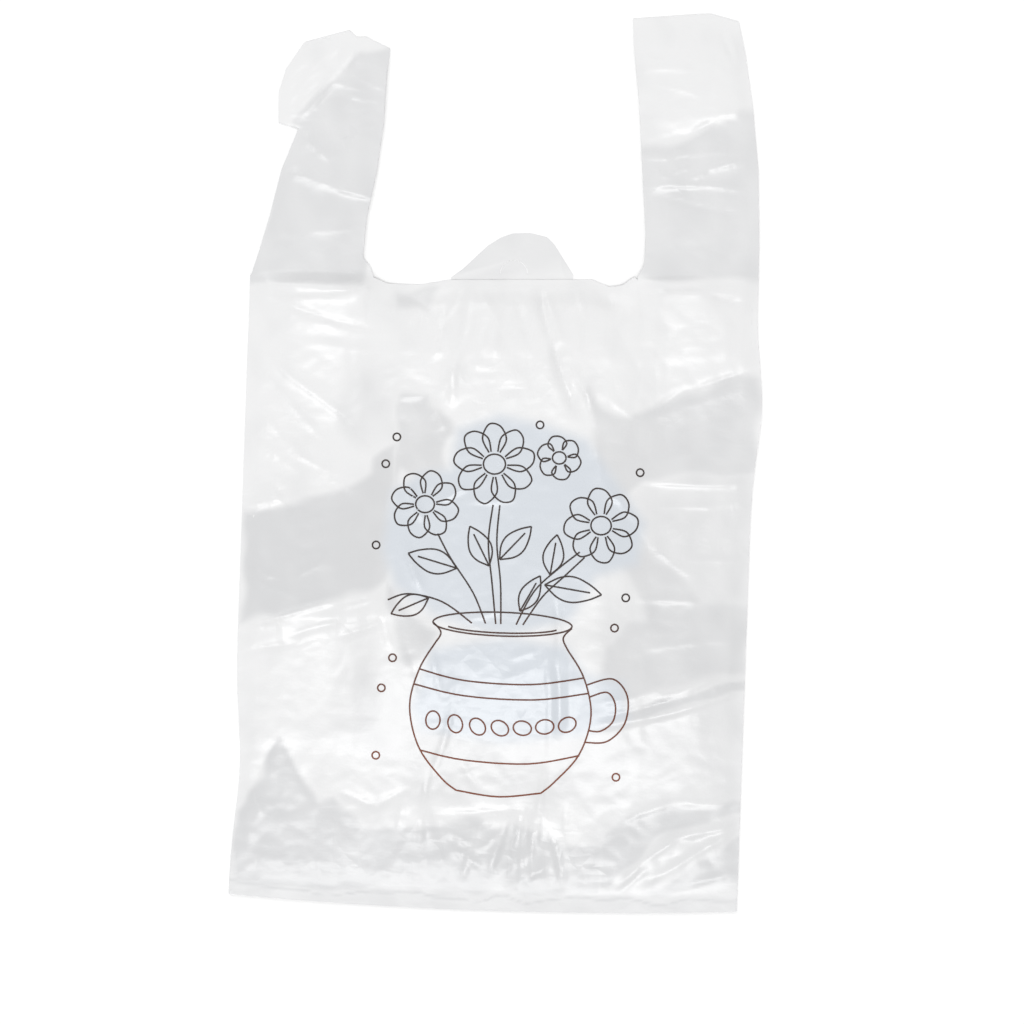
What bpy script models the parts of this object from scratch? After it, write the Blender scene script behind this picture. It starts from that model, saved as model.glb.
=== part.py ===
"""A vest-shaped plastic carrier bag of blown film, lying flat on its back panel.

x runs across the bag, y from the bottom weld towards the handles, z out of the front panel.
The tube of film has a back panel, two folded side gussets and a front panel. It is welded
across the bottom and at the top of each handle, and open at the mouth between the handles.
"""

import math

import bmesh
import bpy
import numpy as np
from mathutils import Matrix

MM = 0.001

# Flat sizes of the bag, in metres. The gusset folds stop a lap short of the handles' inner edges.
BAG_WIDTH = 300 * MM
BODY_HEIGHT = 368 * MM
HANDLE_RISE = 160 * MM
MOUTH_WIDTH = 164 * MM
MOUTH_CORNER_RADIUS = 12 * MM
CORNER_SPREAD = 1.25
HANDLE_LAP = 8 * MM
SKIRT_HEIGHT = 6 * MM
WELD_HEIGHT = 2.5 * MM
HANDLE_WELD_HEIGHT = 4 * MM
BOTTOM_Y = -262 * MM

# The film, and the air between two layers of it.
FILM = 0.4 * MM
LAYER_GAP = 0.5 * MM
MIDDLE_GAP = 0.9 * MM
GUSSET_STEP_REACH = 14 * MM

# Air inside the bag lifts the middle of the front panel, from above the weld to the mouth.
AIR_RISE = 5.6 * MM
AIR_EDGE_X = 100 * MM
AIR_SLOPE_X = 42 * MM
AIR_START = 66 * MM
AIR_SLOPE_Y = 86 * MM
AIR_END_RISE = 45 * MM
SIDE_SLOPE = 16 * MM
SIDE_SLACK = 0.12
WELD_SLOPE = 14 * MM

# Slack in the side edges: a dent on the left and a swell on the right, with their half lengths.
DENT_DEPTH = 4 * MM
DENT_Y = -185 * MM
DENT_REACH = 38 * MM
SWELL_HEIGHT = 4.5 * MM
SWELL_Y = 36 * MM
SWELL_REACH = 34 * MM
BOTTOM_BOW = 4.5 * MM
BOTTOM_DROP = 3.5 * MM
MOUTH_FADE = 60 * MM
EDGE_FADE = 40 * MM

# The tab that stays on the back panel, with its hanging slit.
TAB_WIDTH = 72 * MM
TAB_RISE = 27.5 * MM
TAB_CENTRE_X = 4.5 * MM
SLIT_RADIUS = 8 * MM
SLIT_WIDTH = 0.9 * MM
SLIT_CENTRE_X = 5.5 * MM
SLIT_CENTRE_RISE = 3.5 * MM

# How a fold lies: share of its length over which each end runs out, how high it starts there,
# and how much steeper its side towards the bottom of the bag is than its other side.
FOLD_RUN_OUT = 0.3
FOLD_START = 0.35
FOLD_LEAN = 0.8

# Mesh cells, and the distance within which a line counts as lying on another.
CELL = 8.3 * MM
CUTTER_STEPS = 14
TOUCH = 1e-9

MOUTH_Y = BOTTOM_Y + BODY_HEIGHT
TOP_Y = MOUTH_Y + HANDLE_RISE
SIDE_X = BAG_WIDTH / 2
MOUTH_X = MOUTH_WIDTH / 2
INNER_FOLD_X = MOUTH_X + HANDLE_LAP
FRONT_REST = 3 * (FILM + LAYER_GAP)
FRONT_MIDDLE = FILM + MIDDLE_GAP

# Edges of the two handles as they lie, in millimetres: height over the mouth edge, and how far
# the outer and the inner edge lie towards the middle of the bag.
LEFT_HANDLE_EDGES = [
    (0, 1, 0),
    (12, 4.5, -2),
    (35, 10.5, -0.5),
    (62, 16.5, 4.5),
    (86, 25.5, 7),
    (90.5, 13.5, 7.5),
    (107, 13, 8),
    (121, 17, 8.5),
    (135, 26, 10),
    (145, 34, 11),
]
RIGHT_HANDLE_EDGES = [
    (0, 0, 0),
    (30, 0.5, -0.5),
    (71, 2.5, 3),
    (108, 7, 6),
    (139, 12.5, 10),
    (162, 18, 12),
]

# Heights between which the turned corner of the left handle starts, over the mouth edge.
CORNER_START = 86 * MM
CORNER_END = 90.5 * MM

# Top edges of the handles: share of the way from the inner to the outer edge, and drop in millimetres.
LEFT_HANDLE_TOP = [(0, 25), (0.32, 18.5), (0.43, 19), (0.56, 15), (0.77, 18.5), (1, 23)]
RIGHT_HANDLE_TOP = [(0, 2.5), (0.62, -1.5), (0.75, -2), (1, 2)]

# Outline of the tab: x, and its height over the mouth edge.
TAB_OUTLINE = [
    (-31.5, 1.5),
    (-24.5, 6.5),
    (-10.5, 20),
    (-3, 24.8),
    (4, 27.3),
    (15, 27.5),
    (24.5, 25),
    (29, 20.5),
    (40.5, 3),
]

# The rise of the mouth edge towards the right, and the dip at its right end.
MOUTH_EDGE = [(-82, -4), (-49, -3.5), (-31, 0), (52, 3), (62, -1), (71, 0), (82, 2)]

# Folds and creases of the front panel, in millimetres:
# start x, start y, end x, end y, height, half width.
FOLDS = [
    # creases across both shoulders, where the handles meet the body
    (-149, 99, -76, 99, 2.6, 6),
    (80, 109, 150, 103, 2.4, 6),
    # darts and diagonal pulls below the left shoulder
    (-135, 90, -70, 73, 2.4, 9),
    (-140, 58, -88, 20, 1.8, 7),
    (-120, 76, -60, 30, 1.4, 8),
    # soft upright folds in the middle, below the mouth
    (-26, 104, -33, 80, 2.2, 8),
    (-33, 84, -29, 30, 2.4, 8),
    (-12, 103, 2, 46, 1.8, 8),
    (22, 96, 36, 34, 2.6, 9),
    # pulls towards the right shoulder
    (57, 78, 120, 100, 1.8, 8),
    (70, 60, 142, 73, 1.4, 8),
    (78, 28, 152, 55, 3.0, 9),
    # long crease across the left half, and the band under it
    (-149, -101, -52, -84, 2.8, 8),
    (-147, -170, -50, -163, 2.0, 12),
    # peaked fold at the lower left
    (-122, -166, -142, -244, 2.4, 8),
    (-122, -166, -86, -240, 2.4, 8),
    # diagonal pulls at the lower right
    (62, -152, 151, -125, 2.8, 9),
    (80, -250, 152, -195, 2.4, 8),
    (100, -248, 151, -217, 1.8, 7),
    # short upright crumples above the bottom weld
    (8, -196, 7, -250, 1.8, 7),
    (35, -192, 40, -250, 1.8, 7),
    (-39, -200, -31, -250, 1.8, 7),
    # pulls across the right handle
    (78, 205, 142, 212, 1.4, 7),
    (80, 164, 147, 180, 1.8, 7),
    (75, 240, 136, 233, 1.2, 7),
    # tuck, crease and turned corner of the left handle
    (-134, 166, -79, 151, 2.6, 6),
    (-122, 190, -104, 175, 1.4, 5),
    (-124, 196, -90, 241, 2.6, 6),
    (-131, 207, -106, 234, 1.2, 5),
]

# Long swells of the front panel, in millimetres: height over the panel's rest at each y, on the
# left, in the middle and on the right. The crests lean by a slope, about the reference x.
SWELLS = [
    (-1, 0.175, -100, [(-262, 0), (-240, 0.4), (-170, 1.0), (-95, 5.2), (15, 1.2), (97, 5.2), (106, 0)]),
    (0, 0, 0, [(-262, 0), (-240, 0.4), (-190, 0.8), (-130, 2.6), (-60, 2.6), (10, 1.6), (100, 3.6), (125, 3.6)]),
    (1, 0.3, 110, [(-262, 0), (-240, 0.6), (-205, 1.2), (-140, 5.4), (-100, 4.4), (40, 0.8), (103, 5.4), (112, 0)]),
]
SWELL_MIDDLE = 30
SWELL_BLEND = 60

# Air under the handles and beside the print, in millimetres: centre x and y, height, radius x and y.
PILLOWS = [
    (-108, 135, 1.2, 24, 16),
    (112, 140, 1.0, 26, 14),
    (115, 225, 1.4, 22, 22),
    (-60, -215, 1.2, 50, 20),
    (85, -60, 1.2, 40, 34),
]


def clear_scene():
    for obj in list(bpy.data.objects):
        bpy.data.objects.remove(obj, do_unlink=True)


def evenly(start, end, cell):
    """Lines from start up to, but without, end, about a cell apart."""
    count = max(1, round((end - start) / cell))
    return [start + (end - start) * step / count for step in range(count)]


def lines_through(stops):
    """Lines about a cell apart that pass through every stop."""
    lines = []
    for start, end in zip(stops, stops[1:]):
        lines += evenly(start, end, CELL)
    return np.array(lines + [stops[-1]])


def column_lines():
    tab_left = TAB_CENTRE_X - TAB_WIDTH / 2
    tab_right = TAB_CENTRE_X + TAB_WIDTH / 2
    side = [SIDE_X, SIDE_X - FILM, INNER_FOLD_X + FILM, INNER_FOLD_X, MOUTH_X]
    left = [-x for x in side]
    return lines_through(left + [tab_left, tab_right] + side[::-1])


def row_lines():
    weld_start = BOTTOM_Y + SKIRT_HEIGHT
    weld_end = weld_start + WELD_HEIGHT
    tab_end = MOUTH_Y + TAB_RISE
    outer_drop = LEFT_HANDLE_TOP[-1][1] * MM
    stretch = HANDLE_RISE / (HANDLE_RISE - outer_drop)
    corner = [MOUTH_Y + CORNER_START * stretch, MOUTH_Y + CORNER_END * stretch]
    handle_top = [TOP_Y - HANDLE_WELD_HEIGHT, TOP_Y]
    return lines_through([BOTTOM_Y, weld_start, weld_end, MOUTH_Y, tab_end] + corner + handle_top)


def between(lines, low, high):
    """Which cells between the lines lie from low to high."""
    middles = (lines[1:] + lines[:-1]) / 2
    return (middles > low) & (middles < high)


def outside(lines, limit):
    """Which cells lie further from the middle than the limit, on either side."""
    middles = (lines[1:] + lines[:-1]) / 2
    return np.abs(middles) > limit


def film_cells(columns, rows):
    """True where a cell of the stack is film. The third index counts the seven levels upwards:
    back panel, gap, lower gusset leaf, pocket, upper gusset leaf, gap, front panel."""
    film = np.zeros((len(columns) - 1, len(rows) - 1, 7), bool)
    gusset = outside(columns, INNER_FOLD_X)
    side_fold = outside(columns, SIDE_X - FILM)
    inner_fold = gusset & ~outside(columns, INNER_FOLD_X + FILM)

    film[:, :, [0, 6]] = True
    for level in (2, 4):
        film[gusset, :, level] = True
    for level in (1, 5):
        film[side_fold, :, level] = True
    film[inner_fold, :, 3] = True

    weld = between(rows, BOTTOM_Y + SKIRT_HEIGHT, BOTTOM_Y + SKIRT_HEIGHT + WELD_HEIGHT)
    handle_weld = between(rows, TOP_Y - HANDLE_WELD_HEIGHT, TOP_Y)
    film[:, weld | handle_weld, :] = True

    above_mouth = between(rows, MOUTH_Y, TOP_Y)
    in_mouth = ~outside(columns, MOUTH_X)
    film[np.ix_(in_mouth, above_mouth)] = False

    tab_columns = between(columns, TAB_CENTRE_X - TAB_WIDTH / 2, TAB_CENTRE_X + TAB_WIDTH / 2)
    tab_rows = between(rows, MOUTH_Y, MOUTH_Y + TAB_RISE)
    film[np.ix_(tab_columns, tab_rows, [0])] = True
    return film


def along_list(points, at, column=1):
    """Interpolates one column of a list given in millimetres."""
    table = np.array(points) * MM
    return np.interp(at, table[:, 0], table[:, column])


def smooth_step(value):
    value = np.clip(value, 0, 1)
    return value * value * (3 - 2 * value)


def lay_handle(side, x, y, edges, top):
    """Moves points of a straight handle to where the bent handle lies. side is -1 or 1."""
    share = (np.abs(x) - MOUTH_X) / (SIDE_X - MOUTH_X)
    table = np.array(top)
    drop = np.interp(share, table[:, 0], table[:, 1] * MM)
    rise = (y - MOUTH_Y) / HANDLE_RISE * (HANDLE_RISE - drop)
    outer = SIDE_X - along_list(edges, rise, 1)
    inner = MOUTH_X - along_list(edges, rise, 2)
    return side * (inner + (outer - inner) * share), MOUTH_Y + rise


def plan_position(columns, rows):
    """Where each crossing of a column and a row lies, seen from above."""
    x, y = np.meshgrid(columns, rows, indexing="ij")
    new_x = x.copy()
    new_y = y.copy()

    above = y > MOUTH_Y - TOUCH
    left = above & (x < -MOUTH_X + TOUCH)
    right = above & (x > MOUTH_X - TOUCH)
    new_x[left], new_y[left] = lay_handle(-1, x[left], y[left], LEFT_HANDLE_EDGES, LEFT_HANDLE_TOP)
    new_x[right], new_y[right] = lay_handle(1, x[right], y[right], RIGHT_HANDLE_EDGES, RIGHT_HANDLE_TOP)

    # the rounded corners of the mouth
    radius = MOUTH_CORNER_RADIUS
    from_corner = np.hypot(np.abs(x) - MOUTH_X, y - MOUTH_Y)
    pull = radius * (1 - math.sqrt(0.5)) * smooth_step(1 - from_corner / (CORNER_SPREAD * radius))
    new_x -= np.sign(x) * pull
    new_y += pull

    # the mouth edge is a little askew, which fades into the body
    body_fade = smooth_step(1 - (MOUTH_Y - y) / MOUTH_FADE) * (y < MOUTH_Y + TOUCH)
    new_y += along_list(MOUTH_EDGE, x) * body_fade * (np.abs(x) < MOUTH_X)

    # the tab takes its rows from the mouth edge up to its own outline
    tab = (y > MOUTH_Y - TOUCH) & (y < MOUTH_Y + TAB_RISE + TOUCH)
    tab &= np.abs(x - TAB_CENTRE_X) < TAB_WIDTH / 2 + TOUCH
    share = np.where(tab, (y - MOUTH_Y) / TAB_RISE, 0)
    edge = MOUTH_Y + along_list(MOUTH_EDGE, x)
    new_y = np.where(tab, edge + share * along_list(TAB_OUTLINE, x), new_y)

    # slack in the side edges of the body
    body = smooth_step((MOUTH_Y - y) / EDGE_FADE) * np.clip(np.abs(x) / SIDE_X, 0, 1) ** 2
    left_dent = DENT_DEPTH * np.exp(-(((y - DENT_Y) / DENT_REACH) ** 2))
    right_swell = SWELL_HEIGHT * np.exp(-(((y - SWELL_Y) / SWELL_REACH) ** 2))
    new_x += np.where(x < 0, left_dent, right_swell) * body

    # the bottom edge bows down a little in the middle
    low = smooth_step(1 - (y - BOTTOM_Y) / EDGE_FADE)
    new_y += low * (BOTTOM_BOW * (x / SIDE_X) ** 2 - BOTTOM_DROP)
    return new_x, new_y


def fold_height(x, y, fold):
    """Height of one fold: full along its middle, falling off at both ends and, steeper on the
    side towards the bottom of the bag, across its width."""
    x0, y0, x1, y1, height, half_width = [value * MM for value in fold]
    length = math.hypot(x1 - x0, y1 - y0)
    ux = (x1 - x0) / length
    uy = (y1 - y0) / length
    along = (x - x0) * ux + (y - y0) * uy
    across = (x - x0) * uy - (y - y0) * ux
    run_out = FOLD_RUN_OUT * length
    ends = smooth_step(along / run_out + FOLD_START) * smooth_step((length - along) / run_out + FOLD_START)
    lower_side = across * np.sign(ux) > 0
    half_width = np.where(lower_side, half_width * FOLD_LEAN, half_width / FOLD_LEAN)
    return height * ends * np.exp(-((across / half_width) ** 2))


def pillow_height(x, y, pillow):
    cx, cy, height, radius_x, radius_y = [value * MM for value in pillow]
    return height * np.exp(-(((x - cx) / radius_x) ** 2) - ((y - cy) / radius_y) ** 2)


def swell_height(x, y, swell):
    """Height of the long swells on one third of the panel, faded into the next third."""
    side, slope, middle_x, profile = swell
    away = smooth_step((np.abs(x) / MM - SWELL_MIDDLE) / SWELL_BLEND)
    share = 1 - away if side == 0 else away * (np.sign(x) == side)
    level = y - slope * (x - middle_x * MM)
    # near the handles the crest runs straight across
    level = np.where(y > 0, y + (level - y) * np.clip(1 - y / MOUTH_Y, 0, 1), level)
    return share * along_list(profile, level)


def front_height(x, y, columns, rows):
    """Height of the front panel's underside over the ground."""
    flat_x, flat_y = np.meshgrid(columns, rows, indexing="ij")
    over_gusset = smooth_step((np.abs(flat_x) - INNER_FOLD_X) / GUSSET_STEP_REACH + 1)
    height = FRONT_MIDDLE + (FRONT_REST - FRONT_MIDDLE) * over_gusset
    air_across = smooth_step((AIR_EDGE_X - np.abs(flat_x)) / AIR_SLOPE_X)
    air_along = smooth_step((flat_y - BOTTOM_Y - AIR_START) / AIR_SLOPE_Y)
    air_end = smooth_step((MOUTH_Y + AIR_END_RISE - flat_y) / AIR_END_RISE)
    height = height + AIR_RISE * air_across * air_along * air_end
    folds = sum(fold_height(x, y, fold) for fold in FOLDS)
    pillows = sum(pillow_height(x, y, pillow) for pillow in PILLOWS)
    swells = sum(swell_height(x, y, swell) for swell in SWELLS)
    free = smooth_step((SIDE_X - FILM - np.abs(flat_x)) / SIDE_SLOPE + SIDE_SLACK)
    weld_end = BOTTOM_Y + SKIRT_HEIGHT + WELD_HEIGHT
    free = free * smooth_step((flat_y - weld_end) / WELD_SLOPE)
    free = free * smooth_step((TOP_Y - HANDLE_WELD_HEIGHT - flat_y) / WELD_SLOPE)
    return height + (folds + pillows + swells) * free


def level_heights(front):
    """The eight heights of the stack at each crossing, from the ground to the top face.
    Where the front panel lies lower than the gusset leaves, in the middle, they close up under it."""
    closing = np.minimum(1, (front - FILM) / (FRONT_REST - FILM))
    levels = [np.zeros_like(front), np.full_like(front, FILM)]
    for leaf in (1, 2):
        underside = leaf * (FILM + LAYER_GAP)
        for height in (underside, underside + FILM):
            levels.append(FILM + (height - FILM) * closing)
    return np.stack(levels + [front, front + FILM], axis=2)


def skin_of(film, x, y, z):
    """Closed mesh round all film cells, as points and faces."""
    padded = np.pad(film, 1)
    corners = [(0, 0), (1, 0), (1, 1), (0, 1)]
    index = {}
    points = []
    faces = []
    for axis in range(3):
        first, second = [a for a in range(3) if a != axis]
        for side in (0, 1):
            neighbour = np.roll(padded, 1 - 2 * side, axis=axis)[1:-1, 1:-1, 1:-1]
            for cell in np.argwhere(film & ~neighbour):
                loop = []
                for a, b in corners:
                    corner = list(cell)
                    corner[axis] += side
                    corner[first] += a
                    corner[second] += b
                    corner = tuple(corner)
                    if corner not in index:
                        index[corner] = len(points)
                        i, j, k = corner
                        points.append((x[i, j], y[i, j], z[i, j, k]))
                    loop.append(index[corner])
                # the corners run anticlockwise seen from the high side, but not for the middle axis
                if (side == 0) != (axis == 1):
                    loop.reverse()
                faces.append(loop)
    return points, faces


def film_material():
    material = bpy.data.materials.new("white_film")
    material.use_nodes = True
    shader = material.node_tree.nodes["Principled BSDF"]
    shader.inputs["Base Color"].default_value = (0.86, 0.87, 0.88, 1)
    shader.inputs["Roughness"].default_value = 0.32
    shader.inputs["Metallic"].default_value = 0
    return material


def merge_flat_faces(mesh):
    """Joins the coplanar cells of the flat layers into large faces."""
    work = bmesh.new()
    work.from_mesh(mesh)
    bmesh.ops.dissolve_limit(
        work,
        angle_limit=math.radians(0.05),
        use_dissolve_boundaries=False,
        verts=work.verts[:],
        edges=work.edges[:],
    )
    work.to_mesh(mesh)
    work.free()


def slit_cutter():
    """A bent bar in the shape of an arch, which cuts the hanging slit through the tab."""
    mesh = bpy.data.meshes.new("slit_cutter")
    outline = []
    centre_y = MOUTH_Y + along_list(MOUTH_EDGE, SLIT_CENTRE_X) + SLIT_CENTRE_RISE
    for offset, order in ((SLIT_WIDTH / 2, 1), (-SLIT_WIDTH / 2, -1)):
        for step in range(CUTTER_STEPS + 1)[::order]:
            angle = math.pi * step / CUTTER_STEPS
            radius = SLIT_RADIUS + offset
            outline.append((SLIT_CENTRE_X + radius * math.cos(angle), centre_y + radius * math.sin(angle)))
    work = bmesh.new()
    low = [work.verts.new((px, py, -FILM)) for px, py in outline]
    face = work.faces.new(low)
    pushed = bmesh.ops.extrude_face_region(work, geom=[face])
    raised = [item for item in pushed["geom"] if isinstance(item, bmesh.types.BMVert)]
    bmesh.ops.translate(work, verts=raised, vec=(0, 0, 3 * FILM))
    bmesh.ops.recalc_face_normals(work, faces=work.faces[:])
    work.to_mesh(mesh)
    work.free()
    cutter = bpy.data.objects.new("slit_cutter", mesh)
    bpy.context.scene.collection.objects.link(cutter)
    return cutter


def cut_slit(bag):
    cutter = slit_cutter()
    modifier = bag.modifiers.new("slit", "BOOLEAN")
    modifier.operation = "DIFFERENCE"
    modifier.solver = "EXACT"
    modifier.object = cutter
    graph = bpy.context.evaluated_depsgraph_get()
    cut = bpy.data.meshes.new_from_object(bag.evaluated_get(graph))
    bag.modifiers.remove(modifier)
    bag.data = cut
    bpy.data.objects.remove(cutter, do_unlink=True)


def centre_on_ground(mesh):
    """Puts the middle of the bag's underside at the origin."""
    corners = np.array([vertex.co for vertex in mesh.vertices])
    middle = (corners.min(axis=0) + corners.max(axis=0)) / 2
    mesh.transform(Matrix.Translation((-middle[0], -middle[1], 0)))


def build_bag():
    columns = column_lines()
    rows = row_lines()
    film = film_cells(columns, rows)
    x, y = plan_position(columns, rows)
    z = level_heights(front_height(x, y, columns, rows))
    points, faces = skin_of(film, x, y, z)
    mesh = bpy.data.meshes.new("carrier_bag")
    mesh.from_pydata(points, [], faces)
    mesh.update()
    bag = bpy.data.objects.new("carrier_bag", mesh)
    bpy.context.scene.collection.objects.link(bag)
    cut_slit(bag)
    merge_flat_faces(bag.data)
    centre_on_ground(bag.data)
    bag.data.materials.clear()
    bag.data.materials.append(film_material())
    bag.data.shade_smooth()
    bag.data.set_sharp_from_angle(angle=math.radians(35))
    return bag


clear_scene()
build_bag()
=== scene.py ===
import math

import bmesh
import bpy
import numpy as np
from mathutils import Euler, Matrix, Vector, noise


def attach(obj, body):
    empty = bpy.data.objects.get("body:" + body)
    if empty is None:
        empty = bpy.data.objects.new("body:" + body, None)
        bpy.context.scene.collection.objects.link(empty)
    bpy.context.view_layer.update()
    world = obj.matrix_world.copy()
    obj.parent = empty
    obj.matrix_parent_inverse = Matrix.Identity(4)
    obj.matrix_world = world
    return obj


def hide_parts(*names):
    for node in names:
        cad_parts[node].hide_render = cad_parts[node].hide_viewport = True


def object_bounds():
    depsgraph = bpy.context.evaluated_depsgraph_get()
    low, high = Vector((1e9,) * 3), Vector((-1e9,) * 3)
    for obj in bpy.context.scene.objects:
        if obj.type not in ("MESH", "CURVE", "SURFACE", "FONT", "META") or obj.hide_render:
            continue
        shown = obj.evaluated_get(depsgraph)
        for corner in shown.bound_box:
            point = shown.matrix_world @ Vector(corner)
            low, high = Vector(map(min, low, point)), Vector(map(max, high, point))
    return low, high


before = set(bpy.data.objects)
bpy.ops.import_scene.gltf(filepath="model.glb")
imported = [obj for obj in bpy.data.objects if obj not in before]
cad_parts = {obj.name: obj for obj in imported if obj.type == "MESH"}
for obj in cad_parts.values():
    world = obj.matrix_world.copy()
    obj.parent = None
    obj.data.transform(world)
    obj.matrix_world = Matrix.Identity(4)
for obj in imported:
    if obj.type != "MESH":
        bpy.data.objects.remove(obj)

cadLow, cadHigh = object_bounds()
mm = 0.001

print("stage: sizes and outlines of the bag")

# flat sizes of the bag, in millimetres
bagSizes = {
    "width": 300,
    "bodyHeight": 368,
    "handleRise": 160,
    "mouthWidth": 164,
    "cornerRadius": 12,
    "handleLap": 8,
    "skirt": 6,
    "weld": 2.5,
    "handleWeld": 4,
    "bottomY": -262,
    "film": 0.14,
    "layerGap": 0.32,
    "middleGap": 0.9,
    "tabWidth": 72,
    "tabRise": 27.5,
    "tabCentre": 4.5,
    "bottomBow": 4.5,  # how far the bottom edge bows down in its middle
    "bottomDrop": 3.5,
    "cell": 1.65,  # about the length of a face of the front panel
}
touch = 1e-6  # a line within this distance of another lies on it
sideX = bagSizes["width"] / 2
mouthX = bagSizes["mouthWidth"] / 2
foldX = mouthX + bagSizes["handleLap"]
mouthY = bagSizes["bottomY"] + bagSizes["bodyHeight"]
topY = mouthY + bagSizes["handleRise"]
film = bagSizes["film"]
frontRest = 3 * (film + bagSizes["layerGap"])
frontMiddle = film + bagSizes["middleGap"]

# handle edges: height over the mouth, then how far the outer and inner edge lie towards the middle
leftEdges = [(0, 1, 0), (12, 4.5, -2), (35, 10.5, -0.5), (62, 16.5, 4.5), (86, 25.5, 7), (89, 13.5, 7.5),
             (107, 13, 8), (121, 17, 8.5), (135, 26, 10), (145, 34, 11)]
rightEdges = [(0, 0, 0), (30, 0.5, -0.5), (71, 2.5, 3), (108, 7, 6), (139, 12.5, 10), (162, 18, 12)]
leftTop = [(0, 25), (0.32, 18.5), (0.43, 19), (0.56, 15), (0.77, 18.5), (1, 23)]
rightTop = [(0, 2.5), (0.62, -1.5), (0.75, -2), (1, 2)]
tabOutline = [(-31.5, 1.5), (-24.5, 6.5), (-10.5, 20), (-3, 24.8), (4, 27.3), (15, 27.5), (24.5, 25), (29, 20.5),
              (40.5, 3)]
mouthEdge = [(-82, -4), (-49, -3.5), (-31, 0), (52, 3), (62, -1), (71, 0), (82, 2)]

# shares of each kind of relief of the front panel
bagRelief = {"fold": 0.36, "swell": 0.9, "broad": 1.1, "fine": 0.8, "crease": 1.7}

# large folds, as in the solid: start x and y, end x and y, height, half width
folds = [
    (-149, 98, -76, 99, 3.8, 5.5), (80, 109, 150, 103, 2.4, 6),
    (-135, 90, -70, 73, 2.4, 9), (-140, 58, -88, 20, 1.2, 7), (-120, 76, -60, 30, 0.8, 8),
    (-26, 104, -33, 80, 2.2, 8), (-33, 84, -29, 30, 2.4, 8), (-12, 103, 2, 46, 1.8, 8),
    (22, 96, 36, 34, 2.6, 9),
    (57, 78, 120, 100, 0.8, 8), (70, 60, 142, 73, 0.5, 8), (78, 28, 152, 55, 3.0, 9),
    (-149, -101, -52, -84, 2.8, 8), (-147, -170, -50, -163, 2.0, 12),
    (-122, -166, -142, -244, 0.9, 8), (-122, -166, -86, -240, 0.9, 8),
    (62, -152, 151, -125, 2.8, 9), (80, -250, 152, -195, 2.4, 8), (100, -248, 151, -217, 1.8, 7),
    (8, -196, 7, -250, 1.8, 7), (35, -192, 40, -250, 1.8, 7), (-39, -200, -31, -250, 1.8, 7),
    (78, 205, 142, 212, 1.4, 7), (80, 164, 147, 180, 1.8, 7), (75, 240, 136, 233, 1.2, 7),
    (-134, 166, -79, 151, 2.6, 6), (-122, 190, -104, 175, 1.4, 5), (-124, 196, -90, 241, 1.6, 5),
    (-131, 207, -106, 234, 0.6, 5),
]
# broad swells: side, how much they lean across the bag, where the lean starts, then height along the bag
swells = [
    (-1, 0.175, -100, [(-262, 0), (-240, 0.4), (-170, 1.0), (-95, 4.7), (15, 0.6), (80, 4.5), (101, 6.2),
                       (108, 0)]),
    (0, 0, 0, [(-262, 0), (-240, 0.4), (-190, 1.1), (-130, 2.1), (-60, 2.3), (10, 1.6), (100, 3.6),
               (125, 3.6)]),
    (1, 0.3, 110, [(-262, 0), (-240, 0.6), (-205, 1.2), (-140, 5.0), (-100, 4.1), (40, 0.6), (103, 5.9),
                   (112, 0)]),
]
# round lifts: middle x and y, height, half width and half length
pillows = [(-108, 135, 1.2, 24, 16), (112, 140, 1.0, 26, 14), (115, 228, 1.9, 22, 22),
           (-60, -215, 0.4, 50, 20), (85, -60, 1.2, 40, 34)]


def easeStep(value):
    value = np.clip(value, 0, 1)
    return value * value * (3 - 2 * value)


def alongList(points, at, column=1):
    table = np.array(points, float)
    return np.interp(at, table[:, 0], table[:, column])


def linesThrough(stops, cell):
    lines = []
    for start, end in zip(stops, stops[1:]):
        count = max(1, round((end - start) / cell))
        lines += [start + (end - start) * step / count for step in range(count)]
    return np.array(lines + [stops[-1]])


def cellsBetween(lines, low, high):
    middles = (lines[1:] + lines[:-1]) / 2
    return (middles > low) & (middles < high)


def cellsOutside(lines, limit):
    return np.abs((lines[1:] + lines[:-1]) / 2) > limit


def filmCells(columns, rows):  # levels: back, gap, lower leaf, pocket, upper leaf, gap, front
    cells = np.zeros((len(columns) - 1, len(rows) - 1, 7), bool)
    gusset = cellsOutside(columns, foldX)
    sideFold = cellsOutside(columns, sideX - film)
    innerFold = gusset & ~cellsOutside(columns, foldX + film)
    cells[:, :, [0, 6]] = True
    for level in (2, 4):
        cells[gusset, :, level] = True
    for level in (1, 5):
        cells[sideFold, :, level] = True
    cells[innerFold, :, 3] = True
    weldStart = bagSizes["bottomY"] + bagSizes["skirt"]
    weld = cellsBetween(rows, weldStart, weldStart + bagSizes["weld"])
    handleWeld = cellsBetween(rows, topY - bagSizes["handleWeld"], topY)
    cells[:, weld | handleWeld, :] = True
    cells[np.ix_(~cellsOutside(columns, mouthX), cellsBetween(rows, mouthY, topY))] = False
    tabHalf = bagSizes["tabWidth"] / 2
    tabColumns = cellsBetween(columns, bagSizes["tabCentre"] - tabHalf, bagSizes["tabCentre"] + tabHalf)
    tabRows = cellsBetween(rows, mouthY, mouthY + bagSizes["tabRise"])
    cells[np.ix_(tabColumns, tabRows, [0])] = True
    return cells


def layHandle(side, x, y, edges, top):
    share = (np.abs(x) - mouthX) / (sideX - mouthX)
    drop = alongList(top, share)
    rise = (y - mouthY) / bagSizes["handleRise"] * (bagSizes["handleRise"] - drop)
    outer = sideX - alongList(edges, rise, 1)
    inner = mouthX - alongList(edges, rise, 2)
    return side * (inner + (outer - inner) * share), mouthY + rise


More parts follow.
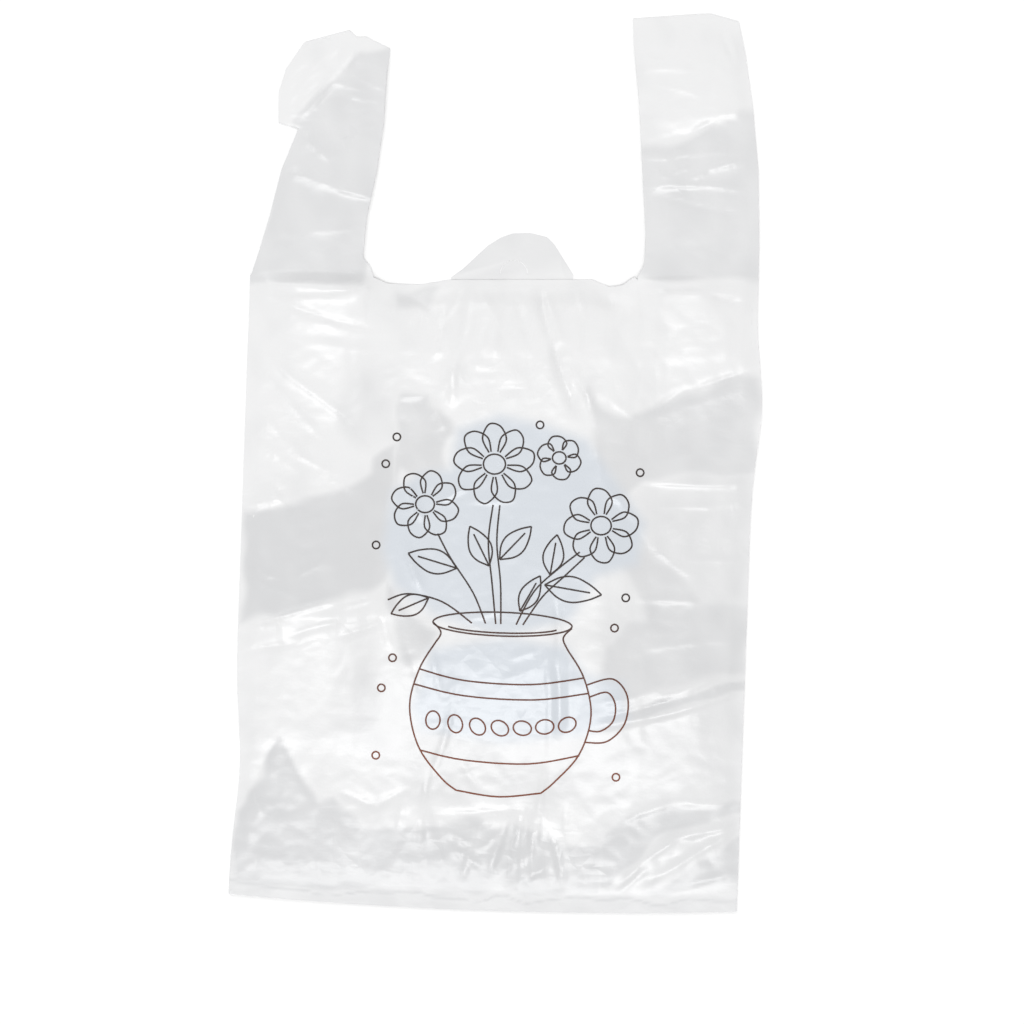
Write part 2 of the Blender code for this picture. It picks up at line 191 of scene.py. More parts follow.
def planPosition(columns, rows):
    x, y = np.meshgrid(columns, rows, indexing="ij")
    newX, newY = x.copy(), y.copy()
    above = y > mouthY - touch
    left = above & (x < -mouthX + touch)
    right = above & (x > mouthX - touch)
    newX[left], newY[left] = layHandle(-1, x[left], y[left], leftEdges, leftTop)
    newX[right], newY[right] = layHandle(1, x[right], y[right], rightEdges, rightTop)

    # rounded corners of the mouth: both edges bend onto one arc
    radius = bagSizes["cornerRadius"]
    fromCorner = np.hypot(np.abs(x) - mouthX, y - mouthY)
    pull = radius * (1 - math.sqrt(0.5)) * easeStep(1 - fromCorner / (1.25 * radius))
    newX -= np.sign(x) * pull
    newY += pull

    bodyFade = easeStep(1 - (mouthY - y) / 60) * (y < mouthY + touch)
    newY += alongList(mouthEdge, x) * bodyFade * (np.abs(x) < mouthX)

    tabHalf = bagSizes["tabWidth"] / 2
    tab = (y > mouthY - touch) & (y < mouthY + bagSizes["tabRise"] + touch)
    tab &= np.abs(x - bagSizes["tabCentre"]) < tabHalf + touch
    share = np.where(tab, (y - mouthY) / bagSizes["tabRise"], 0)
    newY = np.where(tab, mouthY + alongList(mouthEdge, x) + share * alongList(tabOutline, x), newY)

    body = easeStep((mouthY - y) / 40) * np.clip(np.abs(x) / sideX, 0, 1) ** 2
    dent = 4 * np.exp(-(((y + 185) / 38) ** 2))
    swell = 4.5 * np.exp(-(((y - 36) / 34) ** 2))
    newX += np.where(x < 0, dent, swell) * body
    low = easeStep(1 - (y - bagSizes["bottomY"]) / 40)
    newY += low * (bagSizes["bottomBow"] * (x / sideX) ** 2 - bagSizes["bottomDrop"])
    return newX, newY


def foldHeight(x, y, fold, sharpness=1.4, lean=1.0):
    # a ridge: the side that faces the bottom of the bag is the steeper one where lean is under 1
    x0, y0, x1, y1, height, halfWidth = fold
    length = math.hypot(x1 - x0, y1 - y0)
    ux, uy = (x1 - x0) / length, (y1 - y0) / length
    along = (x - x0) * ux + (y - y0) * uy
    across = (x - x0) * uy - (y - y0) * ux
    across = across + 0.03 * length * (np.sin(3.1 * along / length + x0) - math.sin(x0))
    halfWidth = np.where(across * np.sign(ux) > 0, halfWidth * lean, halfWidth / lean)
    ends = easeStep(along / (0.4 * length) + 0.3) * easeStep((length - along) / (0.4 * length) + 0.3)
    return height * ends * np.exp(-(np.abs(across / halfWidth) ** sharpness))


def swellHeight(x, y, swell):
    side, slope, middleX, profile = swell
    away = easeStep((np.abs(x) - 30) / 60)
    share = 1 - away if side == 0 else away * (np.sign(x) == side)
    level = y - slope * (x - middleX)
    level = np.where(y > 0, y + (level - y) * np.clip(1 - y / mouthY, 0, 1), level)
    return share * alongList(profile, level)


# thin creases of the film: start x and y, end x and y, height, half width
creases = [
    # shoulders and upper left
    (-135, 90, -75, 74, -0.8, 2), (-140, 58, -88, 15, 0.5, 1.6), (-88, 15, -67, -2, 0.4, 1.6),
    (-140, 22, -117, -3, 0.4, 1.6), (-123, 2, -90, -11, 0.6, 1.8), (-142, 7, -117, -9, 0.4, 1.6),
    (-131, -19, -119, -34, -0.4, 1.6), (-145, -31, -125, -27, 0.5, 1.6), (-105, -9, -84, -20, 0.4, 1.6),
    (-149, 99, -78, 103, 0.8, 2), (-147, 94, -64, 98, 0.5, 1.8), (-136, 43, -100, 9, 0.3, 1.8),
    (-119, 64, -78, 63, 0.25, 2),
    # upper middle
    (-25, 103, -33, 82, -0.7, 2), (-33, 82, -41, 58, 0.7, 2), (21, 102, 29, 73, -1.2, 2.6),
    (29, 73, 43, 29, -1.3, 3), (24, 100, 33, 70, 0.8, 2), (-20, 98, -27, 60, -0.6, 2.4),
    (-27, 60, -30, 30, 0.6, 2.4), (43, 103, 48, 85, 0.4, 1.5), (46, 79, 45, 64, 0.4, 1.5),
    (41, 58, 53, 38, 0.7, 1.8), (49, 47, 55, 20, 0.6, 1.8), (55, 20, 59, -9, 0.5, 1.8),
    (7, 95, 16, 69, -0.4, 1.6), (16, 69, 19, 37, -0.3, 1.8), (-8, 83, -18, 47, 0.4, 1.6),
    (-2, 89, -6, 59, 0.3, 1.6), (-19, 77, -36, 38, 0.4, 1.6), (-14, 101, -2, 77, 0.4, 1.6),
    (-61, 98, -37, 86, -0.5, 1.8), (-44, 37, -32, 17, 0.5, 1.6), (-60, 35, -44, 38, 0.4, 1.5),
    # right
    (80, 109, 148, 109, 0.8, 2), (80, 103, 116, 104, -0.6, 1.8), (116, 104, 141, 98, -0.8, 2),
    (86, 30, 112, 45, -0.7, 2), (112, 45, 148, 55, -0.9, 2), (65, 38, 83, 28, 0.4, 1.8),
    (84, -9, 149, -5, 0.7, 2), (64, -20, 85, -20, 0.5, 1.6), (61, -9, 85, -38, 0.5, 2),
    (85, -38, 116, -65, 0.5, 2.2), (97, -23, 147, -18, 0.3, 1.6), (109, -55, 145, -51, 0.25, 1.6),
    (88, -109, 149, -101, 0.25, 1.8), (65, -150, 112, -133, -0.7, 1.8), (66, -155, 150, -130, 0.8, 2),
    (112, -133, 150, -117, 0.5, 1.6), (65, -141, 97, -131, 0.5, 1.6), (87, -79, 122, -81, 0.4, 1.6),
    # left
    (-147, -64, -129, -75, 0.5, 1.6), (-144, -75, -114, -85, 0.4, 1.6), (-115, -71, -97, -62, 0.3, 1.6),
    (-146, -102, -90, -89, 0.9, 2), (-90, -89, -71, -85, 0.7, 2), (-119, -108, -90, -98, -0.6, 1.6),
    (-90, -107, -63, -99, -0.6, 1.6), (-145, -118, -113, -113, -0.5, 1.6), (-67, -90, -57, -114, 0.4, 1.6),
    (-124, -166, -137, -200, -0.3, 2.2), (-124, -166, -99, -204, -0.35, 2.2),
    (-86, -199, -63, -206, -0.6, 1.6), (-63, -206, -46, -196, -0.6, 1.6),
    (-46, -194, -53, -220, 0.4, 1.6), (-140, -199, -132, -214, 0.4, 1.6),
    # middle and below the print
    (-51, -108, -41, -143, -0.4, 1.6), (-36, -113, -26, -142, 0.5, 1.6), (-26, -142, -18, -130, 0.4, 1.6),
    (-20, -142, -34, -184, 0.5, 1.6), (-34, -184, -39, -228, -0.6, 1.6), (-16, -177, -4, -195, -0.4, 1.6),
    (37, -81, 38, -116, -0.9, 2), (38, -116, 42, -160, -0.8, 2), (31, -105, 34, -175, 0.5, 1.6),
    (46, -104, 51, -160, 0.4, 1.6), (11, -117, 29, -111, 0.3, 1.5), (6, -129, 23, -124, 0.3, 1.5),
    (-13, -94, 4, -89, 0.3, 1.5), (34, -181, 33, -229, 0.6, 1.6), (33, -229, 37, -252, 0.5, 1.6),
    (47, -199, 49, -228, -0.4, 1.6), (38, -217, 48, -252, -0.8, 2), (-55, -10, -42, -36, 0.8, 1.6),
    (-33, -24, -16, -17, 0.6, 1.6), (-53, -51, -43, -78, 0.8, 1.6), (-16, -24, 14, -21, 0.4, 1.6),
    # bottom
    (82, -210, 109, -198, 0.5, 1.6), (109, -198, 151, -195, 0.5, 1.6), (78, -251, 92, -234, 0.8, 1.8),
    (92, -234, 115, -219, 0.9, 2), (115, -219, 151, -206, 0.8, 2), (81, -252, 98, -238, -0.8, 1.8),
    (93, -248, 152, -216, 0.6, 1.6), (99, -254, 153, -240, 0.4, 1.6), (-27, -210, 29, -208, -0.6, 1.6),
    (-21, -220, -9, -227, 0.5, 1.7), (-20, -228, -2, -242, 0.6, 1.7), (-3, -230, 9, -218, 0.5, 1.7),
    (10, -243, 27, -232, 0.5, 1.7), (22, -248, 36, -239, 0.5, 1.7), (14, -206, 6, -244, 0.7, 2),
    (22, -204, 19, -250, -0.8, 2.2), (28, -206, 30, -246, 0.7, 1.8), (-6, -212, -12, -250, 0.5, 1.8),
    # left handle
    (-132, 166, -102, 158, 0.5, 1.8), (-102, 158, -81, 151, 0.6, 1.8), (-128, 169, -104, 162, 0.15, 2),
    (-123, 190, -105, 174, 0.45, 1.7), (-124, 197, -91, 242, 0.55, 1.8),
    (-129, 201, -101, 237, 0.4, 1.5), (-132, 204, -108, 235, 0.4, 1.5), (-134, 208, -114, 233, 0.4, 1.5),
    (-135, 199, -118, 203, 0.4, 1.5), (-136, 214, -121, 231, 0.35, 1.5), (-117, 222, -99, 243, 0.35, 1.5),
    (-107, 220, -86, 215, 0.3, 1.5), (-98, 213, -76, 211, 0.3, 1.5), (-92, 225, -73, 217, 0.3, 1.5),
    (-116, 132, -86, 135, 0.25, 1.8),
    # right handle
    (80, 187, 107, 195, -1, 1.8), (107, 195, 121, 205, -0.9, 1.7), (121, 208, 137, 212, 0.5, 1.5),
    (76, 233, 105, 236, 0.4, 1.5), (82, 226, 112, 220, 0.3, 1.5), (81, 181, 138, 185, 0.4, 1.4),
    (81, 165, 140, 163, 0.6, 1.4), (84, 160, 141, 152, -0.3, 1.6), (80, 256, 104, 259, 0.3, 1.4),
    (122, 262, 132, 239, -0.5, 1.2), (126, 263, 134, 239, 0.4, 1.2), (96, 174, 107, 178, 0.6, 1.2),
    (108, 170, 117, 175, 0.6, 1.2), (116, 176, 137, 183, 0.5, 1.2), (87, 175, 95, 169, 0.5, 1.2),
]
# areas painted greyer as painted shade, standing in for where the film turns away from the lamps' reflection or
# lies in a crease: strength, soft edge, corners
shadeAndWeldAreas = [
    # the whole lower right, and the strip along the bottom
    (0.42, 14, [(58, -100), (74, -50), (96, 0), (160, 0), (160, -275), (50, -275), (56, -180)]),
    (0.55, 4, [(-160, -251), (160, -252), (160, -280), (-160, -280)]),
    # below the print, where the body slopes down to the bottom
    (0.55, 14, [(-88, -124), (-44, -122), (14, -150), (80, -154), (82, -196), (-30, -204), (-84, -172)]),
    # left of the print
    (1, 3, [(-148, -35), (-138, -33), (-122, -28), (-105, -25), (-86, -18), (-74, -8), (-71, 1), (-61, 6),
        (-59, -1), (-59, -37), (-59, -61), (-64, -70), (-76, -79), (-90, -86), (-114, -91), (-131, -96),
        (-148, -100)]),
    # upper left
    (0.35, 8, [(-83, 50), (-68, 48), (-60, 35), (-58, 7), (-70, 3), (-85, 9), (-97, 27), (-92, 42)]),
    # beside the print
    (0.8, 2.5, [(-60, 35), (-44, 37), (-40, 32), (-35, 28), (-29, 17), (-28, 13), (-33, 5), (-31, -6),
        (-39, -21), (-46, -13), (-55, -9), (-57, -13), (-57, -60), (-61, -61), (-60, 4)]),
    # right of the print
    (0.72, 3, [(52, 44), (59, 35), (66, 30), (74, 28), (86, 30), (97, 38), (112, 46), (129, 51), (147, 56),
        (152, 54), (154, -1), (149, -4), (120, -6), (87, -8), (76, -16), (68, -15), (62, -6), (58, 9),
        (53, 26)]),
    # low right of the print
    (0.8, 4, [(61, -12), (72, -28), (82, -38), (97, -48), (110, -61), (125, -78), (152, -80), (154, -112),
        (150, -119), (124, -126), (100, -132), (89, -135), (65, -140), (63, -104), (87, -91), (81, -73),
        (71, -56), (62, -45), (60, -21)]),
    # band at the lower right
    (1, 1.8, [(65, -150), (89, -141), (124, -131), (152, -122), (152, -130), (124, -138), (89, -149),
        (67, -155)]),
    # bottom left
    (0.5, 8, [(-160, -212), (-48, -222), (40, -232), (40, -262), (-160, -262)]),
    # lower left
    (0.95, 2.5, [(-124, -166), (-130, -178), (-135, -193), (-141, -205), (-147, -211), (-147, -255),
        (-108, -255), (-79, -255), (-37, -255), (-8, -255), (69, -255), (69, -227), (45, -225), (38, -216),
        (9, -215), (-3, -212), (-27, -216), (-38, -219), (-53, -218), (-63, -218), (-74, -219), (-80, -212),
        (-86, -203), (-99, -204), (-107, -192), (-112, -181)]),
    # lower right
    (0.95, 2.2, [(82, -210), (97, -204), (111, -198), (126, -198), (152, -197), (152, -204), (127, -209),
        (109, -217), (98, -226), (86, -239), (78, -250), (68, -251), (67, -228), (70, -217)]),
    # lowest right
    (0.9, 2.2, [(93, -252), (116, -239), (139, -226), (153, -217), (154, -241), (128, -247), (105, -252)]),
    # left handle
    (0.62, 1.6, [(-154, 100), (-144, 131), (-137, 167), (-126, 197), (-107, 219), (-92, 240), (-69, 244),
        (-70, 205), (-73, 175), (-82, 125), (-83, 102)]),
    # right handle
    (0.6, 2.5, [(77, 185), (107, 195), (121, 203), (137, 212), (149, 214), (153, 113), (80, 112)]),
    # below the mouth
    (0.5, 2.2, [(-64, 98), (-38, 100), (-43, 86), (-49, 90), (-61, 92)]),
    # wedge below the print
    (0.9, 3, [(-64, -70), (-55, -84), (-40, -95), (-32, -104), (-42, -119), (-51, -124), (-55, -120),
        (-58, -96), (-64, -84)]),
    # tab
    (0.34, 2, [(-38, 108), (42, 111), (41, 138), (-39, 135)]),
]


# areas of small crumples: strength, soft edge, corners
crumpledAreas = [
    # above the bottom weld
    (0.75, 10, [(-60, -250), (-45, -215), (-20, -205), (35, -200), (52, -215), (75, -235), (75, -252)]),
    (0.4, 12, [(-148, -252), (-140, -230), (-60, -232), (-60, -252)]),
    # left edge and the pulls beside it
    (0.55, 12, [(-148, 30), (-118, 28), (-90, -8), (-86, -26), (-128, -36), (-148, -34)]),
    (0.5, 10, [(-148, -96), (-70, -86), (-60, -112), (-148, -118)]),
    # below the mouth, beside the print and under the right handle's fold
    (0.5, 14, [(-62, 96), (60, 100), (62, 40), (40, 28), (-36, 24), (-58, 44)]),
    (0.55, 10, [(64, -40), (148, -12), (148, -52), (90, -60)]),
    (0.5, 8, [(66, -128), (150, -112), (150, -132), (66, -156)]),
    (0.5, 10, [(-16, -80), (34, -84), (40, -170), (-34, -176)]),
    # both handles
    (0.6, 8, [(78, 150), (142, 152), (140, 192), (78, 186)]),
    (0.45, 8, [(-136, 196), (-92, 242), (-72, 240), (-74, 196), (-100, 170), (-122, 178)]),
]

# pale blue wash behind the upper part of the printed design
washedAreas = [
    [(-28, -6), (-24, 18), (0, 27), (26, 22), (52, 14), (70, -10), (88, -34), (84, -58), (60, -66), (46, -92),
     (6, -104), (-34, -92), (-58, -76), (-66, -54), (-62, -20), (-44, -8)],
    [(-36, -112), (-46, -146), (-40, -160), (8, -166), (54, -160), (82, -150), (78, -128), (56, -124),
     (44, -108), (8, -104)],
]


def crumple(x, y, size, seed):
    # flat facets with sharp ridges between them, as in handled film
    value = np.zeros(x.size)
    for index, (px, py) in enumerate(zip(x.ravel(), y.ravel())):
        distances = noise.voronoi((px / size + seed, py / size - seed, seed * 0.37))[0]
        value[index] = min(distances[1] - distances[0], 0.6)
    return value.reshape(x.shape)


def softNoise(x, y, size, seed):
    value = np.zeros(x.size)
    for index, (px, py) in enumerate(zip(x.ravel(), y.ravel())):
        value[index] = noise.noise((px / size + seed, py / size, seed))
    return value.reshape(x.shape)


# the bottom weld, a thin grey line that bows with the edge
weldTop = bagSizes["bottomY"] + bagSizes["skirt"] - 1.2
weldWidth = 1.8
weldLine = [(v, weldTop + bagSizes["bottomBow"] * (v / sideX) ** 2) for v in range(-152, 153, 19)]
shadeAndWeldAreas.append((1, 0.7, weldLine + [(v, level - weldWidth) for v, level in weldLine[::-1]]))


def areaShare(x, y, corners, soft):
    # 1 well inside the outline, 0 well outside, a soft edge between
    edge = np.array(corners, float)
    nearest = np.full(x.shape, 1e9)
    inside = np.zeros(x.shape, bool)
    for (x0, y0), (x1, y1) in zip(edge, np.roll(edge, -1, axis=0)):
        dx, dy = x1 - x0, y1 - y0
        share = np.clip(((x - x0) * dx + (y - y0) * dy) / (dx * dx + dy * dy), 0, 1)
        nearest = np.minimum(nearest, np.hypot(x - x0 - share * dx, y - y0 - share * dy))
        if dy:
            inside ^= ((y0 > y) != (y1 > y)) & (x < x0 + (y - y0) / dy * dx)
    return easeStep(0.5 + np.where(inside, nearest, -nearest) / (2 * soft))


# how the front panel lies over the rest: heights and lengths in millimetres
panelShape = {
    "airRise": 5.6,
    "airEdge": 100,
    "airEdgeFade": 42,
    "airStart": 66,
    "airFade": 86,
    "mouthSink": 0.93,
    "mouthSinkLength": 46,
    "handleFadeEnd": 45,
    "handleFade": 40,
    "sideFade": 12,
    "sideSlack": 0.12,
    "weldFade": 14,
    "leastRelief": 0.04,
    "mouthRest": 0.92,
    "mouthRestLength": 16,
    "mouthGap": 0.3,
}


def frontHeight(x, y, columns, rows):
    flatX, flatY = np.meshgrid(columns, rows, indexing="ij")
    overGusset = easeStep((np.abs(flatX) - foldX) / 10 + 1)
    height = frontMiddle + (frontRest - frontMiddle) * overGusset
    airAcross = easeStep((panelShape["airEdge"] - np.abs(flatX)) / panelShape["airEdgeFade"])
    airAlong = easeStep((flatY - bagSizes["bottomY"] - panelShape["airStart"]) / panelShape["airFade"])
    sinkLength = panelShape["mouthSinkLength"]
    sinking = 1 - panelShape["mouthSink"] * easeStep((flatY - mouthY + sinkLength) / sinkLength)
    sinking = sinking * easeStep((mouthY + panelShape["handleFadeEnd"] - flatY) / panelShape["handleFade"])
    height = height + panelShape["airRise"] * airAcross * airAlong * sinking
    weldEnd = bagSizes["bottomY"] + bagSizes["skirt"] + bagSizes["weld"]
    free = easeStep((sideX - film - np.abs(flatX)) / panelShape["sideFade"] + panelShape["sideSlack"])
    free = free * easeStep((flatY - weldEnd) / panelShape["weldFade"])
    free = free * easeStep((topY - bagSizes["handleWeld"] - flatY) / panelShape["weldFade"])
    free = np.clip(free, panelShape["leastRelief"], 1)
    relief = sum(bagRelief["fold"] * foldHeight(x, y, fold, 1.5, 0.7) for fold in folds)
    swell = sum(swellHeight(x, y, swell) for swell in swells)
    nearMouth = easeStep((mouthX + 14 - np.abs(flatX)) / 26) * (flatY < mouthY + 1)
    mouthEase = 1 - 0.85 * easeStep((flatY - mouthY + 24) / 24) * nearMouth
    towardsSides = easeStep((sideX + 4 - np.abs(flatX)) / 42)
    relief = relief + bagRelief["swell"] * swell * mouthEase * towardsSides
    for cx, cy, rise, radiusX, radiusY in pillows:
        relief = relief + rise * np.exp(-(((x - cx) / radiusX) ** 2) - ((y - cy) / radiusY) ** 2)
    sharp = sum(foldHeight(x, y, crease, 1.15, 0.8) for crease in creases)
    # crumples all over, stronger above the bottom weld and under the mouth
    low = easeStep((-160 - y) / 60)
    high = easeStep((y - 10) / 70) * (y < mouthY)
    strength = 0.4 + 0.3 * low + 0.3 * high
    wavyX = x + 5 * softNoise(x, y, 23, 4.1)
    wavyY = y + 5 * softNoise(x, y, 23, 9.4)
    facets = bagRelief["broad"] * crumple(wavyX * 1.3, wavyY * 0.8, 30, 3.1)
    facets = facets + bagRelief["fine"] * crumple(wavyX * 0.9, wavyY * 1.1, 12, 7.7)
    relief = relief + strength * facets + 0.5 * softNoise(x, y * 0.7, 42, 1.3)
    height = height + np.maximum(relief + bagRelief["crease"] * sharp + 0.3, 0) * free
    # the edge of the mouth rests close to the back panel
    restLength = panelShape["mouthRestLength"]
    resting = panelShape["mouthRest"] * easeStep((flatY - mouthY + restLength) / restLength)
    resting = resting * easeStep((mouthX - 8 - np.abs(flatX)) / 20) * (flatY < mouthY + 1)
    return height - (height - film - panelShape["mouthGap"]) * resting


def levelHeights(front):
    closing = np.minimum(1, (front - film) / (frontRest - film))
    levels = [np.zeros_like(front), np.full_like(front, film)]
    for leaf in (1, 2):
        underside = leaf * (film + bagSizes["layerGap"])
        for height in (underside, underside + film):
            levels.append(film + (height - film) * closing)
    return np.stack(levels + [front, front + film], axis=2)


def skinOf(cells, x, y, z):
    # closed skin round all film cells; flat layers take large faces, the front panel small ones
    padded = np.pad(cells, 1)
    index, points, faces = {}, [], []

    def addFace(corners, turned):
        for corner in corners:
            if corner not in index:
                index[corner] = len(points)
                i, j, k = corner
                points.append((x[i, j], y[i, j], z[i, j, k]))
        loop = [index[corner] for corner in corners]
        faces.append(loop[::-1] if turned else loop)

    def mergeLayer(layer, height, turned, longest=40):
        for i, j in np.argwhere(layer):
            if not layer[i, j]:
                continue
            wide = tall = 1
            while wide < longest and i + wide < layer.shape[0] and layer[i + wide, j]:
                wide += 1
            while tall < longest and j + tall < layer.shape[1] and layer[i:i + wide, j + tall].all():
                tall += 1
            layer[i:i + wide, j:j + tall] = False
            ring = [(i + s, j) for s in range(wide)] + [(i + wide, j + s) for s in range(tall)]
            ring += [(i + wide - s, j + tall) for s in range(wide)] + [(i, j + tall - s) for s in range(tall)]
            addFace([(a, b, height) for a, b in ring], turned)

    for axis in range(3):
        first, second = [other for other in range(3) if other != axis]
        for side in (0, 1):
            bare = cells & ~np.roll(padded, 1 - 2 * side, axis=axis)[1:-1, 1:-1, 1:-1]
            turned = (side == 0) != (axis == 1)
            if axis == 2:
                for level in range(6):
                    mergeLayer(bare[:, :, level], level + side, turned)
            for cell in np.argwhere(bare):
                corners = []
                for a, b in ((0, 0), (1, 0), (1, 1), (0, 1)):
                    corner = list(cell)
                    corner[axis] += side
                    corner[first] += a
                    corner[second] += b
                    corners.append(tuple(corner))
                addFace(corners, turned)
    return points, faces


print("stage: film of the bag")
halfTab = bagSizes["tabWidth"] / 2
sideStops = [sideX, sideX - film, foldX + film, foldX, mouthX]
tabStops = [bagSizes["tabCentre"] - halfTab, bagSizes["tabCentre"] + halfTab]
columnStops = [-v for v in sideStops] + tabStops + sideStops[::-1]
columnLines = linesThrough(columnStops, bagSizes["cell"])
weldLow = bagSizes["bottomY"] + bagSizes["skirt"]
stretch = bagSizes["handleRise"] / (bagSizes["handleRise"] - leftTop[-1][1])
rowStops = [bagSizes["bottomY"], weldLow, weldLow + bagSizes["weld"], mouthY, mouthY + bagSizes["tabRise"],
            mouthY + 86 * stretch, mouthY + 89 * stretch, topY - bagSizes["handleWeld"], topY]
rowLines = linesThrough(rowStops, bagSizes["cell"])
planX, planY = planPosition(columnLines, rowLines)
heights = levelHeights(frontHeight(planX, planY, columnLines, rowLines))
bagPoints, bagFaces = skinOf(filmCells(columnLines, rowLines), planX, planY, heights)
bagPoints = np.array(bagPoints)
ownMiddle = (bagPoints.min(axis=0) + bagPoints.max(axis=0)) / 2
cadMiddle = np.array([(cadLow[k] + cadHigh[k]) / 2 / mm for k in range(3)])
shiftX, shiftY = cadMiddle[0] - ownMiddle[0], cadMiddle[1] - ownMiddle[1]
bagPoints[:, 0] += shiftX
bagPoints[:, 1] += shiftY

filmMesh = bpy.data.meshes.new("bagFilm")
filmMesh.from_pydata((bagPoints * mm).tolist(), [], bagFaces)
filmMesh.update()
bagFilm = bpy.data.objects.new("bagFilm", filmMesh)
bpy.context.scene.collection.objects.link(bagFilm)

# the arc slit in the tab
slitRadius, slitWidth, slitX = 8, 0.5, 5.5
slitY = mouthY + alongList(mouthEdge, slitX) + 3.5
work = bmesh.new()
slitOutline = []
for offset, order in ((slitWidth / 2, 1), (-slitWidth / 2, -1)):
    for step in range(25)[::order]:
        angle = math.pi * step / 24
        slitOutline.append((slitX + shiftX + (slitRadius + offset) * math.cos(angle),
                            slitY + shiftY + (slitRadius + offset) * math.sin(angle)))
slitFace = work.faces.new([work.verts.new((px * mm, py * mm, -film * mm)) for px, py in slitOutline])
pushed = bmesh.ops.extrude_face_region(work, geom=[slitFace])["geom"]
pushedVerts = [item for item in pushed if isinstance(item, bmesh.types.BMVert)]
bmesh.ops.translate(work, verts=pushedVerts, vec=(0, 0, 3 * film * mm))
bmesh.ops.recalc_face_normals(work, faces=work.faces[:])
cutterMesh = bpy.data.meshes.new("slitCutter")
work.to_mesh(cutterMesh)
work.free()
slitCutter = bpy.data.objects.new("slitCutter", cutterMesh)
bpy.context.scene.collection.objects.link(slitCutter)
slitCut = bagFilm.modifiers.new("slit", "BOOLEAN")
slitCut.operation, slitCut.solver, slitCut.object = "DIFFERENCE", "EXACT", slitCutter
filmMesh = bpy.data.meshes.new_from_object(bagFilm.evaluated_get(bpy.context.evaluated_depsgraph_get()))
bagFilm.modifiers.remove(slitCut)
bagFilm.data = filmMesh
filmMesh.name = "bagFilm"
bpy.data.objects.remove(slitCutter)

# the underside of the front panel is out of sight: fewer faces, and a little more room below the top face
hiddenSizes = {"flatAngle": 2.5, "lowestFace": 1.3, "lowestLowered": 2.2, "lowered": 0.3}
work = bmesh.new()
work.from_mesh(filmMesh)
lowestFace = hiddenSizes["lowestFace"] * mm
hiddenFaces = {face for face in work.faces if face.normal.z < -0.3 and face.calc_center_median().z > lowestFace}
hiddenEdges = [edge for edge in work.edges if all(face in hiddenFaces for face in edge.link_faces)]
hiddenVerts = [vert for vert in work.verts if all(face in hiddenFaces for face in vert.link_faces)]
bmesh.ops.dissolve_limit(work, angle_limit=math.radians(hiddenSizes["flatAngle"]), use_dissolve_boundaries=False,
                         verts=hiddenVerts, edges=hiddenEdges)
for vert in work.verts:
    if vert.co.z > hiddenSizes["lowestLowered"] * mm and all(face.normal.z < -0.3 for face in vert.link_faces):
        vert.co.z -= hiddenSizes["lowered"] * mm
work.to_mesh(filmMesh)
work.free()
filmMesh.shade_smooth()
filmMesh.set_sharp_from_angle(angle=math.radians(50))
print("film triangles", sum(len(face.vertices) - 2 for face in filmMesh.polygons))

print("stage: film material")
filmLook = {
    # the film's white, then the grey of painted shade laid where the film turns away from the lamps' reflection
    "unshadedWhite": (0.866, 0.867, 0.87, 1),
    "paintedShade": (0.69, 0.694, 0.703, 1),
    "washed": (0.685, 0.722, 0.768, 1),
    "roughness": 0.3,
    "bump": 0.25,
    "crinkle": 0.42,
}
where = np.array([vertex.co for vertex in filmMesh.vertices]) / mm
atX, atY = where[:, 0] - shiftX, where[:, 1] - shiftY
raggedX = atX + 5 * softNoise(atX, atY, 19, 2.2)
raggedY = atY + 5 * softNoise(atX, atY, 19, 6.6)
paintedShade = 0.14 * easeStep((40 - atY) / 80)  # painted shade: the lower half is painted a little greyer
# painted shade: each area paints the film greyer, and the bottom weld adds its thin grey line
for strength, soft, corners in shadeAndWeldAreas:
    paintedShade = np.maximum(paintedShade, strength * areaShare(raggedX, raggedY, corners, 1.2 * soft))
paintedShade = np.clip(paintedShade + 0.25 * softNoise(atX * 1.3, atY, 17, 3.3), 0, 1)
# painted shade stored on the points: 0 keeps the film's white, 1 paints it grey
filmMesh.attributes.new("paintedShade", "FLOAT", "POINT").data.foreach_set("value", paintedShade.astype("f"))
crumpled = np.full(len(atX), 0.16)
for strength, soft, corners in crumpledAreas:
    crumpled = np.maximum(crumpled, strength * areaShare(raggedX, raggedY, corners, soft))
crumpled = crumpled * (0.7 + 0.6 * softNoise(atX, atY, 13, 1.7))
filmMesh.attributes.new("crumpled", "FLOAT", "POINT").data.foreach_set("value", crumpled.astype("f"))
washed = np.zeros(len(atX))
for corners in washedAreas:
    washed = np.maximum(washed, areaShare(atX, atY, corners, 5))
filmMesh.attributes.new("washed", "FLOAT", "POINT").data.foreach_set("value", washed.astype("f"))

filmMaterial = bpy.data.materials.new("whiteFilm")
filmMaterial.use_nodes = True
nodes, links = filmMaterial.node_tree.nodes, filmMaterial.node_tree.links
shader = nodes["Principled BSDF"]
shader.inputs["Roughness"].default_value = filmLook["roughness"]
shader.inputs["IOR"].default_value = 1.5


def mixedColour(nodes, links, attribute, first, second):
    reader = nodes.new("ShaderNodeAttribute")
    reader.attribute_name = attribute
    mixer = nodes.new("ShaderNodeMix")
    mixer.data_type = "RGBA"
    links.new(reader.outputs["Fac"], mixer.inputs["Factor"])
    for name, value in (("A", first), ("B", second)):
        socket = [item for item in mixer.inputs if item.name == name and item.type == "RGBA"][0]
        if isinstance(value, tuple):
            socket.default_value = value
        else:
            links.new(value, socket)
    return [item for item in mixer.outputs if item.type == "RGBA"][0]
